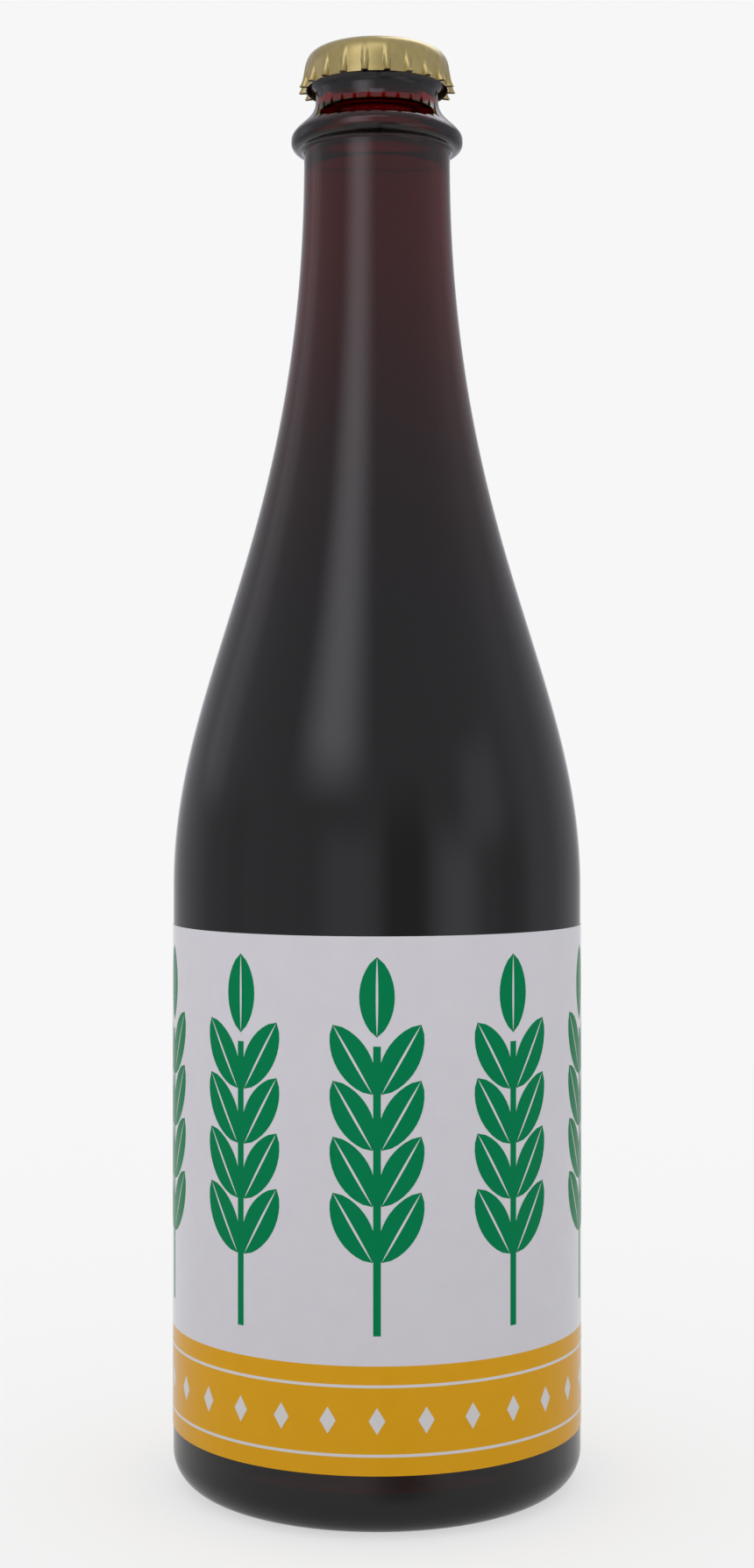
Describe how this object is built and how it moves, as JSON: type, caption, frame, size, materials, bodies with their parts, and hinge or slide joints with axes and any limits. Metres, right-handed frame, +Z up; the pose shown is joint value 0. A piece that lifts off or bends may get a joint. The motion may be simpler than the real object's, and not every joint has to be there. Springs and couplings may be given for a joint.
{
  "type": "capped glass bottle",
  "caption": "Tall dark glass drinks bottle with a long sloping shoulder, a ringed neck and a wrap label, filled and closed by a fluted gold crown cap that lifts off.",
  "frame": {"origin": "middle of the base, on the surface that the bottle stands on", "axes": "+Z up along the bottle's axis; -Y is the front, and the label's seam is at +Y"},
  "size_m": [0.0748, 0.0746, 0.2611],
  "materials": {
    "dark_glass": "very dark red-brown glass, polished",
    "dark_drink": "near-black drink, red in thin layers",
    "label_paper": "pale coated paper with an ochre band and green print",
    "gold_lacquer": "satin gold lacquer on tinplate",
    "liner_compound": "dark soft sealing compound"
  },
  "bodies": {
    "bottle": {"glass_bottle": "dark_glass", "wrap_label": "label_paper", "drink": "dark_drink"},
    "crown": {"crown_shell": "gold_lacquer", "crown_liner": "liner_compound"}
  },
  "joints": [
    {"name": "crown_lift", "type": "slide", "parent": "bottle", "child": "crown", "axis": [0, 0, 1], "range_m": [0, 0.045]}
  ]
}
